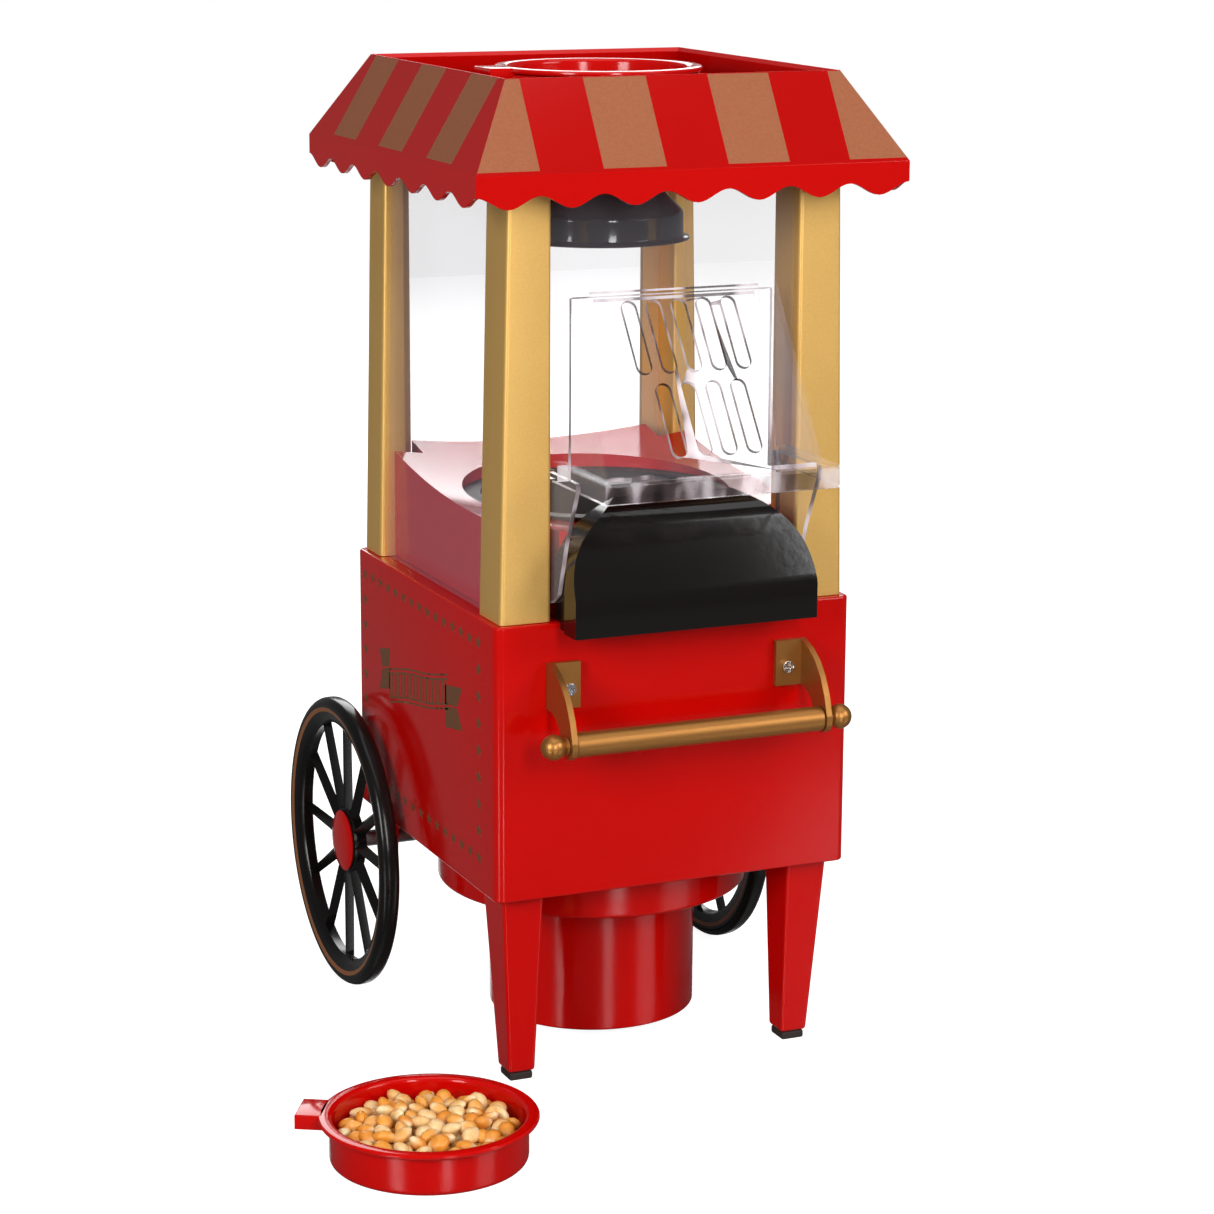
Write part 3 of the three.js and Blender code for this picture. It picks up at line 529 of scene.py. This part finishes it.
def makeDeck():
    low, high = span("hopper_deck")
    body = bmesh.new()
    outline = [(-70.5, -57), (-50.3, -57), (-50.3, -79), (50.3, -79), (50.3, -57), (70.5, -57),
               (70.5, 61.5), (57, 61.5), (57, 76.5), (-57, 76.5), (-57, 61.5), (-70.5, 61.5)]
    prism(body, [(x, y, low.z) for x, y in outline], (0, 0, 251 - low.z))
    bowl = bmesh.new()
    rise = [(r, deckStyle["lowZ"] + r * r / deckStyle["spread"]) for r in range(0, 151, 6)]
    turned(bowl, rise + [(150, 300), (0, 300)], (0, deckStyle["centreY"], 0), steps=128)
    bmesh.ops.remove_doubles(bowl, verts=bowl.verts, dist=0.002)
    bmesh.ops.recalc_face_normals(bowl, faces=bowl.faces)
    bmesh.ops.recalc_face_normals(body, faces=body.faces)
    deck = combined(body, bowl, "DIFFERENCE")
    mouth = bmesh.new()
    turned(mouth, [(0, 190), (deckStyle["mouthR"], 190), (deckStyle["mouthR"], 234.2), (58.3, 234.2),
                   (58.3, 300), (0, 300)], (0, 0, 0), steps=96)
    bmesh.ops.remove_doubles(mouth, verts=mouth.verts, dist=0.002)
    bmesh.ops.recalc_face_normals(mouth, faces=mouth.faces)
    deck = combined(deck, mouth, "DIFFERENCE")
    addPiece("hopperDeck", deck, red, "root", "hopper_deck", outward=False)


rampStyle = {"halfX": 54.2, "cheekX": 52.4, "cheekY": -93.6, "edge": 1.4}


def makeRamp():
    halfX = rampStyle["halfX"]
    side = bmesh.new()
    outline = [(-105.5, 198), (-105.5, 212.4), (-105.1, 214.4), (-93.5, 240.0), (-91.9, 243.0), (-89.5, 245.5),
               (-86.5, 247.3), (-79.5, 250), (-79.5, 198)]
    prism(side, [(-halfX, y, z) for y, z in outline], (2 * halfX, 0, 0))
    front = bmesh.new()
    curve = interpolate_bezier(Vector((halfX, 0, 214)), Vector((halfX, 0, 231)), Vector((45.5, 0, 243)),
                               Vector((24, 0, 251)), 20)
    half = [(halfX, 190)] + [(point.x, point.z) for point in curve]
    prism(front, [(x, -120, z) for x, z in half] + [(-x, -120, z) for x, z in reversed(half)], (0, 50, 0))
    bmesh.ops.recalc_face_normals(side, faces=side.faces)
    bmesh.ops.recalc_face_normals(front, faces=front.faces)
    whole = combined(side, front, "INTERSECT")
    waste = [((-60, -85, 180), (60, -70, 200.8)), ((-50.4, -103.5, 180), (50.4, -81.5, 211)),
             ((rampStyle["cheekX"], rampStyle["cheekY"], 190), (60, -70, 260)),
             ((-60, rampStyle["cheekY"], 190), (-rampStyle["cheekX"], -70, 260))]
    for low, high in waste:
        cutter = bmesh.new()
        block(cutter, low, high)
        whole = combined(whole, cutter, "DIFFERENCE")
    addPiece("popcornRamp", whole, black, "visor", "popcorn_ramp", bevel=rampStyle["edge"],
             outward=False)


def makeChamber():
    bm = bmesh.new()
    wall = 1.2
    lipZ = 234.7
    profile = [(0, 163), (35.5, 163), (41.5, 169), (41.5, 214), (51.5, 233.2), (51.5, lipZ), (57.8, lipZ),
               (57.8, lipZ + wall), (50.4, lipZ + wall), (50.4, 233.5), (40.3, 214.4), (40.3, 169.5),
               (35, 164.2), (0, 164.2)]
    turned(bm, profile, (0, 0, 0), steps=96)
    addPiece("poppingChamber", bm, chamberMetal, "root", "popping_chamber")


makeDeck()
makeRamp()
makeChamber()
print("deck, ramp and chamber made")


# ---------- roof ----------

roofStyle = {"lobes": 7, "lobeSteps": 14, "wall": 2.2, "edge": 0.9}


def stripedPlastic(name, axisIndex, pitch, goldCentre, lowZ, highZ):
    graph = Graph(name)
    spot = graph.place(centre=axisPoint)
    places = graph.parts(spot)
    across = places[axisIndex]
    height = places[2]
    phase = across / (2 * pitch) + (0.25 if goldCentre else 0.75)
    share = graph.node("ShaderNodeMath", {"operation": "FRACT"}, i0=phase + 50)
    printed = (share < 0.5) * (height > lowZ) * (height < highZ)
    grain = graph.noise(graph.place(), 900.0, 3.0, 0.7)
    cloud = graph.noise(graph.place(), 9.0)
    copper = graph.mix(grain, rgba(paint(142, 78, 50)), rgba(paint(172, 108, 74)))
    plastic = graph.mix(cloud, rgba(paint(162, 3, 2)), rgba(paint(174, 6, 3)))
    relief = graph.bump(printed * 0.4 + grain * printed * 0.3, 0.25, 0.0002)
    return graph.shade(Base_Color=graph.mix(printed, plastic, copper), Metallic=printed * 0.35,
                       Roughness=printed * 0.3 + 0.13, Normal=relief, IOR=1.5, Specular_IOR_Level=0.26)


def makeRoof():
    low, high = span("roof_canopy")
    creaseZ = 384.3
    cuspZ = 376
    topHalf = Vector((73.5, 78.6))
    half = Vector((high.x, high.y))
    front = stripedPlastic("frontStripes", 0, 27.06 * mm, False, (creaseZ + 1.4) * mm, (high.z - 0.4) * mm)
    sides = stripedPlastic("sideStripes", 1, 28.5 * mm, True, (creaseZ + 2.2) * mm, (high.z - 0.4) * mm)
    bm = bmesh.new()

    def edgeLine(alongHalf):
        points = []
        pitch = 2 * alongHalf / roofStyle["lobes"]
        for lobe in range(roofStyle["lobes"]):
            for step in range(roofStyle["lobeSteps"]):
                share = step / roofStyle["lobeSteps"]
                drop = (cuspZ - low.z) * (0.5 - 0.5 * math.cos(2 * math.pi * share))
                points.append((-alongHalf + pitch * (lobe + share), cuspZ - drop))
        return points + [(alongHalf, cuspZ)]

    def addSide(spot, alongHalf, topAlong, topOut, out, materialIndex):
        slope = [spot(-topAlong, topOut, high.z), spot(-alongHalf, out, creaseZ), spot(alongHalf, out, creaseZ),
                 spot(topAlong, topOut, high.z)]
        face = bm.faces.new([bm.verts.new(point) for point in slope])
        face.material_index = materialIndex
        skirt = [spot(alongHalf, out, creaseZ), spot(-alongHalf, out, creaseZ)]
        skirt += [spot(u, out, z) for u, z in edgeLine(alongHalf)]
        bm.faces.new([bm.verts.new(point) for point in skirt]).material_index = 2

    addSide(lambda u, v, z: (u, -v, z), half.x, topHalf.x, topHalf.y, half.y, 0)
    addSide(lambda u, v, z: (-u, v, z), half.x, topHalf.x, topHalf.y, half.y, 0)
    addSide(lambda u, v, z: (v, u, z), half.y, topHalf.y, topHalf.x, half.x, 1)
    addSide(lambda u, v, z: (-v, -u, z), half.y, topHalf.y, topHalf.x, half.x, 1)
    bmesh.ops.remove_doubles(bm, verts=bm.verts, dist=0.01)
    bmesh.ops.recalc_face_normals(bm, faces=bm.faces)
    if sum(f.normal.dot(f.calc_center_median() - Vector((0, 0, 390))) for f in bm.faces) < 0:
        bmesh.ops.reverse_faces(bm, faces=bm.faces)
    shell = addPiece("roofShell", bm, [front, sides, red, red], "roof", "roof_canopy",
                     outward=False, smoothAngle=20)
    thickness = shell.modifiers.new("wall", "SOLIDIFY")
    thickness.thickness = roofStyle["wall"] * mm
    thickness.offset = -1
    thickness.use_even_offset = True
    thickness.material_offset = 2  # the inside is plain red
    thickness.material_offset_rim = 2
    rounding = shell.modifiers.new("rounding", "BEVEL")
    rounding.width = roofStyle["edge"] * mm
    rounding.segments = 3
    rounding.limit_method = "ANGLE"
    rounding.angle_limit = math.radians(25)
    rounding.harden_normals = True

    well = bmesh.new()
    wellZ = 410.5
    floorHalf = topHalf + Vector((2.9, 3.3))
    bmesh.ops.create_circle(well, radius=42, segments=96, matrix=Matrix.Translation((0, 0, wellZ)))
    grown = bmesh.ops.extrude_edge_only(well, edges=list(well.edges))["geom"]
    rim = [part for part in grown if isinstance(part, bmesh.types.BMVert)]
    for vert in rim:
        x, y = abs(vert.co.x) + 1e-6, abs(vert.co.y) + 1e-6
        vert.co.xy *= min(floorHalf.x / x, floorHalf.y / y)
    for sx, sy in ((-1, -1), (1, -1), (1, 1), (-1, 1)):
        corner = Vector((sx * floorHalf.x, sy * floorHalf.y, wellZ))
        min(rim, key=lambda vert: (vert.co - corner).length).co = corner
    grown = bmesh.ops.extrude_face_region(well, geom=list(well.faces))["geom"]
    lowered = [part for part in grown if isinstance(part, bmesh.types.BMVert)]
    bmesh.ops.translate(well, vec=(0, 0, -2), verts=lowered)
    addPiece("roofWell", well, red, "roof")

    collar = bmesh.new()
    profile = [(12, 396.5), (42.8, 396.5), (42.8, 411.0)] + arc(42.0, 415.2, 0.8, 0, 90) \
        + arc(41.3, 415.2, 0.8, 90, 180) + [(40.5, 398.5), (12, 398.5)]
    turned(collar, profile, (0, 0, 0), steps=96, closed=True)
    addPiece("cupCollar", collar, red, "roof")

    dome = bmesh.new()
    profile = [(39, 346), (39.2, 346.5), (38.8, 347)] + arc(37.6, 348.4, 1.1, -90, -180) + [(36.4, 356)] \
        + arc(33.4, 356.4, 3, 0, 50) + [(17, 377.5), (15.2, 380), (15, 383), (15, 396.2), (12.5, 396.2),
                                       (12.5, 381), (33.2, 357.6), (34.6, 355), (34.8, 347.5), (36.8, 346)]
    turned(dome, profile, (0, 0, 0), steps=96, closed=True)
    addPiece("deflectorDome", dome, black, "roof", "deflector_dome")


makeRoof()
print("roof made")


# ---------- measuring cups and corn ----------

cupStyle = {"bodyR": 39.75, "rimR": 44, "height": 19, "wall": 1.5, "floor": 1.7, "tabReach": 52.5,
            "tabWidth": 18}


def makeCup(name, centre, tabAngle, body, node):
    bm = bmesh.new()
    r, rim, top = cupStyle["bodyR"], cupStyle["rimR"], cupStyle["height"]
    profile = [(0, 0)] + arc(r - 2.4, 2.4, 2.4, -90, 0) + [(r, top - 4.4)]
    profile += arc(r + 1.2, top - 4.0, 1.2, 180, 100, 3) + [(rim - 0.9, top - 2.2)]
    profile += arc(rim - 1.1, top - 1.1, 1.1, -80, 90) + [(r + 1.2, top)]
    profile += arc(r + 0.4, top - 1.9, 1.9, 90, 180) + [(r - 1.5, 4.6)] + arc(r - 4.4, 4.6, 2.9, 0, -90)
    profile += [(0, cupStyle["floor"])]
    turned(bm, profile, (0, 0, 0), steps=96)
    half = cupStyle["tabWidth"] / 2
    tab = block(bm, (rim - 2.6, -half, top - 6), (cupStyle["tabReach"], half, top))
    under = [face for face in bm.faces if face.normal.z < -0.9 and all(v in tab for v in face.verts)]
    bmesh.ops.inset_region(bm, faces=under, thickness=1.5)
    bmesh.ops.translate(bm, vec=(0, 0, 4.2), verts=under[0].verts)
    rims = {edge for vert in tab for edge in vert.link_edges if edge.other_vert(vert) in tab}
    bmesh.ops.bevel(bm, geom=list(rims), offset=0.5, affect="EDGES", segments=3, profile=0.5, material=-1)
    bmesh.ops.rotate(bm, cent=(0, 0, 0), matrix=Matrix.Rotation(math.radians(tabAngle), 3, "Z"), verts=bm.verts)
    bmesh.ops.translate(bm, vec=Vector(centre), verts=bm.verts)
    addPiece(name, bm, red, body, node)


def cornMaterial():
    graph = Graph("dryCorn")
    shade = graph.node("ShaderNodeAttribute", {"attribute_name": "kernelShade"}, 2)
    tip = graph.node("ShaderNodeAttribute", {"attribute_name": "kernelTip"}, 2)
    cloud = graph.noise(graph.place(), 320.0, 3.0)
    flesh = graph.node("ShaderNodeValToRGB", {"stops": [
        (0.12, paint(204, 118, 30)), (0.38, paint(226, 150, 52)), (0.6, paint(224, 166, 92)),
        (0.85, paint(234, 204, 150))]}, Fac=shade * 0.6 + cloud * 0.45)
    colour = graph.mix(tip, flesh, rgba(paint(240, 222, 176)))
    relief = graph.bump(cloud, 0.45, 0.0008)
    return graph.shade(Base_Color=colour, Roughness=cloud * 0.2 + 0.26, Normal=relief, IOR=1.45,
                       Subsurface_Weight=0.08, Subsurface_Radius=(0.004, 0.002, 0.001))


corn = {"length": 9.4, "width": 7.0, "thick": 4.7, "heapR": 35.0, "wallR": 37.6, "baseZ": 5.0, "topZ": 16.6,
        "layers": [(0.0, 66), (0.5, 78), (1.0, 76)], "seed": 11}


def makeCorn(centre):
    random.seed(corn["seed"])
    bm = bmesh.new()
    shadeLayer = bm.verts.layers.float.new("kernelShade")
    tipLayer = bm.verts.layers.float.new("kernelTip")
    for level, number in corn["layers"]:
        for i in range(number):
            radius = corn["heapR"] * math.sqrt((i + 0.5) / number)
            angle = i * 2.39996 + level * 1.3 + random.uniform(-0.12, 0.12)
            crown = 1 - (radius / corn["heapR"]) ** 3
            z = corn["baseZ"] + (corn["topZ"] - corn["baseZ"]) * level * (0.62 + 0.38 * crown)
            verts = bmesh.ops.create_icosphere(bm, subdivisions=2, radius=0.5)["verts"]
            shade = random.random()
            for vert in verts:
                along = vert.co.x + 0.5
                narrow = 0.5 + 0.6 * math.sin(math.pi * min(1, 0.12 + along * 0.62))
                vert[shadeLayer] = shade
                vert[tipLayer] = max(0.0, 1 - along * 3.2)
                vert.co = Vector((vert.co.x * corn["length"], vert.co.y * corn["width"] * narrow,
                                  vert.co.z * corn["thick"] * narrow))
            turn = Matrix.Rotation(random.uniform(0, 6.283), 3, "Z") \
                @ Matrix.Rotation(random.gauss(0, 0.45), 3, "Y") @ Matrix.Rotation(random.gauss(0, 0.6), 3, "X")
            size = random.uniform(0.86, 1.1)
            bmesh.ops.transform(bm, matrix=turn.to_4x4() @ Matrix.Scale(size, 4), verts=verts)
            bmesh.ops.translate(bm, vec=(radius * math.cos(angle), radius * math.sin(angle),
                                         z + random.uniform(-1.0, 1.0)), verts=verts)
            for vert in verts:
                if vert.co.xy.length > corn["wallR"]:
                    vert.co.xy = vert.co.xy.normalized() * corn["wallR"]
    bmesh.ops.translate(bm, vec=Vector(centre), verts=bm.verts)
    addPiece("cornKernels", bm, cornMaterial(), "cup", "kernel_heap", outward=False, smoothAngle=80)


lidLow, lidHigh = span("lid_cup")
heapLow, heapHigh = span("kernel_heap")
looseCentre = ((heapLow.x + heapHigh.x) / 2, (heapLow.y + heapHigh.y) / 2, 0)
makeCup("lidCup", (0, 0, lidLow.z), 180, "lid", "lid_cup")
makeCup("measuringCup", looseCentre, 150, "cup", "measuring_cup")
makeCorn(looseCentre)
print("cups and corn made")


# ---------- wheels ----------

wheelStyle = {"spokes": 12, "rimInner": 54.2, "capR": 13.75}


def rimMaterial():
    graph = Graph("rimWithLine")
    low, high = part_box("wheel_left")
    centre = Vector((0, (low.y + high.y) / 2, (low.z + high.z) / 2))
    x, y, z = graph.parts(graph.place(centre=centre))
    radius = graph.node("ShaderNodeMath", {"operation": "SQRT"}, i0=y * y + z * z)
    line = (radius > 0.0594) * (radius < 0.0613)
    cloud = graph.noise(graph.place(), 40.0)
    plastic = graph.mix(cloud, rgba(paint(9, 8, 8)), rgba(paint(24, 22, 21)))
    colour = graph.mix(line, plastic, rgba(paint(134, 84, 52)))
    return graph.shade(Base_Color=colour, Roughness=line * 0.2 + 0.2, Specular_IOR_Level=0.22)


def makeWheel(side, rimPaint):
    low, high = span(f"wheel_{side}")
    centre = Vector((0, (low.y + high.y) / 2, (low.z + high.z) / 2))
    radius = (high.z - low.z) / 2
    sign = 1 if side == "right" else -1
    outer = high.x if side == "right" else -low.x
    inner = outer - 9
    rim = wheelStyle["rimInner"]
    bm = bmesh.new()
    profile = [(rim + 1, inner + 0.6), (rim + 2, inner)] + [(radius - 2.6, inner)]
    profile += arc(radius - 3, inner + 3, 3, -90, 0, 4) + arc(radius - 4, outer - 4, 4, 0, 75, 5)
    profile += [(radius - 4.6, outer - 0.25), (rim + 2.6, outer - 1.6), (rim + 0.8, outer - 2.6), (rim, outer - 4)]
    turned(bm, profile, centre, "X", 128, closed=True)
    hub = [(4.4, 82.2), (8.5, 82.2), (8.5, 84.4), (15, 85), (15.2, 89), (14.4, 90), (4.4, 90)]
    turned(bm, hub, centre, "X", 64, closed=True)
    for i in range(wheelStyle["spokes"]):
        turn = Matrix.Rotation(2 * math.pi * i / wheelStyle["spokes"], 4, "X")
        wide, slim = 3.3, 2.2
        start = wheelStyle["capR"] - 0.6
        spoke = prism(bm, [(86.8, -wide, start), (86.8, wide, start), (89.4, 0.9, start), (90.2, 0, start),
                           (89.4, -0.9, start)], (0, 0, rim + 1 - start))
        for vert in spoke:
            if vert.co.z > 40:
                vert.co.y *= slim / wide
        bmesh.ops.transform(bm, matrix=Matrix.Translation(centre) @ turn, verts=spoke)
    capR = wheelStyle["capR"]
    cap = bmesh.new()
    turned(cap, [(0, 90.3), (capR - 0.3, 90.3), (capR, 90.6), (capR, 91.0), (capR - 0.6, 91.5), (9.5, 92.1),
                 (5, 92.5), (0, 92.6)], centre, "X", 64)
    if side == "left":
        for mesh in (bm, cap):
            bmesh.ops.scale(mesh, vec=(-1, 1, 1), verts=mesh.verts)
    addPiece(f"wheel.{side}", bm, rimPaint, f"{side}_wheel", f"wheel_{side}")
    addPiece(f"hubCap.{side}", cap, red, f"{side}_wheel", f"hub_cap_{side}")


rimPaint = rimMaterial()
for side in ("left", "right"):
    makeWheel(side, rimPaint)
print("wheels made")


# ---------- handle ----------

def makeHandle():
    low, high = span("handle_bar")
    centre = (0, (low.y + high.y) / 2, (low.z + high.z) / 2)
    radius = (high.z - low.z) / 2
    bar = bmesh.new()
    turned(bar, [(0, -61.2), (3, -61.2), (3, -55.7), (radius - 0.3, -55.7), (radius, -55.4), (radius, 55.4),
                 (radius - 0.3, 55.7), (3, 55.7), (3, 61.2), (0, 61.2)], centre, "X", 64)
    addPiece("handleBar", bar, darkGold, "root", "handle_bar")
    for side, sign in (("left", -1), ("right", 1)):
        knob = bmesh.new()
        ball = 5.3
        profile = [(3.3, 58.8), (3.9, 58.8), (3.9, 59.5), (3.1, 60.0)] \
            + [(ball * math.sin(math.radians(a)), 64.5 - ball * math.cos(math.radians(a))) for a in range(34, 181, 8)]
        turned(knob, profile + [(0, 64.5 + ball)], centre, "X", 48)
        if sign < 0:
            bmesh.ops.scale(knob, vec=(-1, 1, 1), verts=knob.verts)
        bmesh.ops.holes_fill(knob, edges=[e for e in knob.edges if e.is_boundary])
        addPiece(f"handleKnob.{side}", knob, darkGold, "root", f"handle_knob_{side}")
        addPiece(f"handleBracket.{side}", fromNode(f"handle_bracket_{side}"), darkGold, "root",
                 f"handle_bracket_{side}", bevel=0.5)
        addPiece(f"handleScrew.{side}", fromNode(f"handle_screw_{side}"), chrome, "root",
                 f"handle_screw_{side}", bevel=0.25, segments=2)


makeHandle()
print("handle made")


# ---------- printed stars and ribbon ----------

printStyle = {"lowY": -65, "highY": 74.5, "lowZ": 98.5, "highZ": 190.5, "across": 15, "down": 9, "starR": 2.9,
              "thick": 0.07}
ribbonStyle = {"band": (44, -29.5), "rise": (146.5, 161), "halfHigh": 6.6, "bars": 19, "rearTail": (56.5, 43),
               "frontTail": (-26, -46), "tailZ": (145, 163.5)}


def makePrint(side, sign):
    low, high = span("cart_body")
    face = high.x if sign > 0 else low.x
    bm = bmesh.new()

    def star(y, z):
        points = []
        for i in range(10):
            radius = printStyle["starR"] * (1 if i % 2 == 0 else 0.42)
            angle = math.radians(90 + 36 * i)
            points.append((y + 1.2 * radius * math.cos(angle), z + radius * math.sin(angle)))
        patch(points)

    def patch(points):
        prism(bm, [(face - sign * 0.02, y, z) for y, z in points], (sign * printStyle["thick"], 0, 0))

    def ribbon():
        start, stop = ribbonStyle["band"]
        lowMiddle, highMiddle = ribbonStyle["rise"]
        high = ribbonStyle["halfHigh"]
        number = ribbonStyle["bars"] * 2

        def spot(step):
            share = step / number
            swell = 2.0 * math.sin(2 * math.pi * share)
            middle = lowMiddle + (highMiddle - lowMiddle) * (0.5 - 0.5 * math.cos(math.pi * share))
            return start + (stop - start) * share, middle + swell

        for step in range(number):
            (y, z), (nextY, nextZ) = spot(step), spot(step + 1)
            reach = high - 1.6
            if step % 2 == 0:
                patch([(y, z - reach), (nextY, nextZ - reach), (nextY, nextZ + reach), (y, z + reach)])
            for edge in (reach, -reach - 0.9):
                patch([(y, z + edge), (nextY, nextZ + edge), (nextY, nextZ + edge + 0.9), (y, z + edge + 0.9)])
            for edge in (high + 0.4, -high - 1.2):
                patch([(y, z + edge), (nextY, nextZ + edge), (nextY, nextZ + edge + 0.8), (y, z + edge + 0.8)])
        lowTail, highTail = ribbonStyle["tailZ"]
        middleTail = (lowTail + highTail) / 2
        for inner, outer in (ribbonStyle["rearTail"][::-1], ribbonStyle["frontTail"]):
            lean = 3 if inner > 0 else -3
            notch = inner + (outer - inner) * 0.72
            patch([(inner, lowTail), (outer, lowTail - lean), (notch, middleTail - lean * 0.7), (inner, middleTail)])
            patch([(inner, middleTail + 0.8), (notch, middleTail + 0.8 - lean * 0.7), (outer, highTail - lean),
                   (inner, highTail)])

    ys = [printStyle["lowY"] + (printStyle["highY"] - printStyle["lowY"]) * i / (printStyle["across"] - 1)
          for i in range(printStyle["across"])]
    zs = [printStyle["lowZ"] + (printStyle["highZ"] - printStyle["lowZ"]) * i / (printStyle["down"] - 1)
          for i in range(printStyle["down"])]
    for y in ys:
        star(y, zs[0])
        star(y, zs[-1])
    for z in zs[1:-1]:
        star(ys[0], z)
        star(ys[-1], z)
    ribbon()
    addPiece(f"starPrint.{side}", bm, printInk, "root")


printInk = goldPaint("printInk", paint(104, 62, 34), paint(136, 86, 50), 0.3)
makePrint("left", -1)
makePrint("right", 1)
print("print made")


# ---------- pieces that keep their drawn shape ----------

plainNodes = {
    "cabinet_top_frame": red, "base_plate": black, "base_screw_1": chrome, "base_screw_2": chrome,
    "base_screw_3": chrome, "axle": steel, "chamber_collar": steel, "air_duct": black, "heater_frame": mica,
    "heater_coil": steel, "thermostat": chrome, "fan_impeller": black, "motor_shaft": steel, "motor": steel,
    "motor_bracket": steel, "rectifier_board": boardGreen, "switch_housing": black, "switch_rocker": black,
    "cord_gland": black,
}
for node, material in plainNodes.items():
    dress(node, material)
print("inner pieces dressed")
